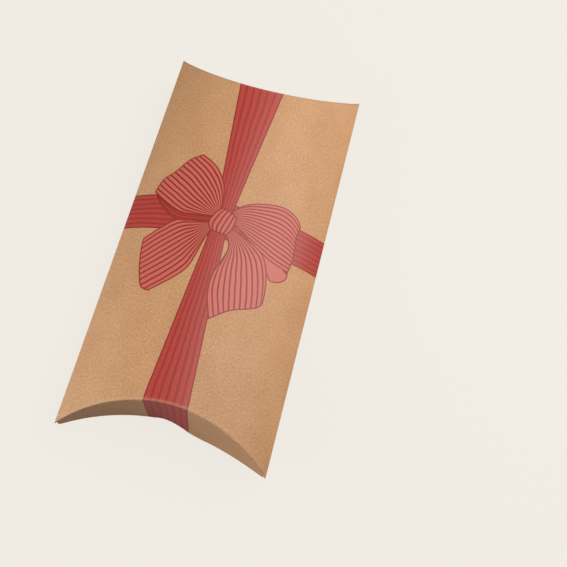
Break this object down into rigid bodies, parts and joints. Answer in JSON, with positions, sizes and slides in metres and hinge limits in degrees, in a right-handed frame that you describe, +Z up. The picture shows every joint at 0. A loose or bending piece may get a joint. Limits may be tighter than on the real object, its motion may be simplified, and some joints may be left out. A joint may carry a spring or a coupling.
{
  "type": "pillow box",
  "caption": "Flat gift carton with bowed front and back panels, a glued side seam and curved end flaps that fold shut along arched creases.",
  "frame": {"origin": "on the resting line of the back panel, in the middle of the box", "axes": "+X across the box towards the glued seam, +Y along it towards the far end, +Z up through the front panel"},
  "size_m": [0.0838, 0.175, 0.03],
  "materials": {
    "kraft_board": "uncoated brown kraft board, die-cut and creased, printed with a red ribbon cross and bow",
    "glue_line": "thin dried white carton glue"
  },
  "bodies": {
    "sleeve": {"front_panel": "kraft_board", "back_panel": "kraft_board", "left_side_fold": "kraft_board", "right_side_fold": "kraft_board", "glue_flap": "kraft_board", "seam_glue": "glue_line"},
    "near_outer_flap": {"near_outer_flap": "kraft_board", "near_outer_crease": "kraft_board"},
    "near_inner_flap": {"near_inner_flap": "kraft_board", "near_inner_crease": "kraft_board"},
    "far_outer_flap": {"far_outer_flap": "kraft_board", "far_outer_crease": "kraft_board"},
    "far_inner_flap": {"far_inner_flap": "kraft_board", "far_inner_crease": "kraft_board"}
  },
  "joints": [
    {"name": "near_outer_fold", "type": "hinge", "parent": "sleeve", "child": "near_outer_flap", "pos_m": [0, -0.0725, 0.03], "axis": [-1, 0, 0], "range_deg": [0, 90]},
    {"name": "near_inner_fold", "type": "hinge", "parent": "sleeve", "child": "near_inner_flap", "pos_m": [0, -0.0719, 0], "axis": [1, 0, 0], "range_deg": [0, 45]},
    {"name": "far_outer_fold", "type": "hinge", "parent": "sleeve", "child": "far_outer_flap", "pos_m": [0, 0.0725, 0.03], "axis": [1, 0, 0], "range_deg": [0, 90]},
    {"name": "far_inner_fold", "type": "hinge", "parent": "sleeve", "child": "far_inner_flap", "pos_m": [0, 0.0719, 0], "axis": [-1, 0, 0], "range_deg": [0, 45]}
  ],
  "couplings": [
    {"joint": "near_inner_fold", "follows": "near_outer_fold", "ratio": 0.5},
    {"joint": "far_inner_fold", "follows": "far_outer_fold", "ratio": 0.5}
  ]
}
